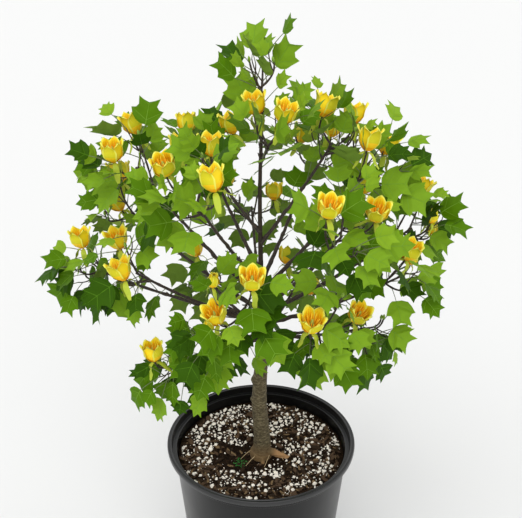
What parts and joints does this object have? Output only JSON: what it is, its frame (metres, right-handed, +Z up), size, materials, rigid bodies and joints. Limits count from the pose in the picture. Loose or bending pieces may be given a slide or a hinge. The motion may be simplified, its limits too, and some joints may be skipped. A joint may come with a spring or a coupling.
{
  "type": "potted tulip tree",
  "caption": "Young broadleaf tree in flower, grown as a small standard: a bare trunk, rising boughs and an open leafy crown with cup-shaped blooms, in a round nursery pot of bark mix.",
  "frame": {"origin": "centre of the pot's flat underside, on the ground", "axes": "+Z up along the trunk, +X to the right of the front view, -Y towards the front"},
  "size_m": [0.7303, 0.5774, 1.0733],
  "materials": {
    "pot_plastic": "black moulded polyethylene, satin",
    "potting_mix": "damp bark and peat with white perlite grains, loose and matte",
    "trunk_bark": "grey-brown young bark, finely fissured",
    "bough_bark": "dark smooth young bark",
    "foliage": "fresh green leaves with a soft sheen, yellow and orange blooms"
  },
  "bodies": {
    "root": {"pot": "pot_plastic", "potting_mix": "potting_mix", "trunk": "trunk_bark", "crown_top_bough": "bough_bark", "upper_left_bough": "bough_bark", "upper_right_bough": "bough_bark", "left_shoulder_bough": "bough_bark", "right_shoulder_bough": "bough_bark", "front_upper_left_bough": "bough_bark", "front_upper_right_bough": "bough_bark", "left_far_bough": "bough_bark", "left_front_bough": "bough_bark", "left_low_bough": "bough_bark", "front_low_bough": "bough_bark", "front_right_low_bough": "bough_bark", "front_left_low_bough": "bough_bark", "right_bottom_bough": "bough_bark", "right_far_bough": "bough_bark", "right_low_bough": "bough_bark", "back_upper_left_bough": "bough_bark", "back_upper_right_bough": "bough_bark", "back_left_bough": "bough_bark", "back_bough": "bough_bark", "back_right_bough": "bough_bark", "back_low_left_bough": "bough_bark", "back_low_right_bough": "bough_bark", "leader_tip_foliage": "foliage", "crown_top_foliage": "foliage", "upper_left_foliage": "foliage", "upper_right_foliage": "foliage", "left_shoulder_foliage": "foliage", "right_shoulder_foliage": "foliage", "front_upper_left_foliage": "foliage", "front_upper_right_foliage": "foliage", "left_far_foliage": "foliage", "left_front_foliage": "foliage", "left_low_foliage": "foliage", "front_low_foliage": "foliage", "front_right_low_foliage": "foliage", "front_left_low_foliage": "foliage", "right_bottom_foliage": "foliage", "right_far_foliage": "foliage", "right_low_foliage": "foliage", "back_upper_left_foliage": "foliage", "back_upper_right_foliage": "foliage", "back_left_foliage": "foliage", "back_foliage": "foliage", "back_right_foliage": "foliage", "back_low_left_foliage": "foliage", "back_low_right_foliage": "foliage"}
  },
  "joints": []
}
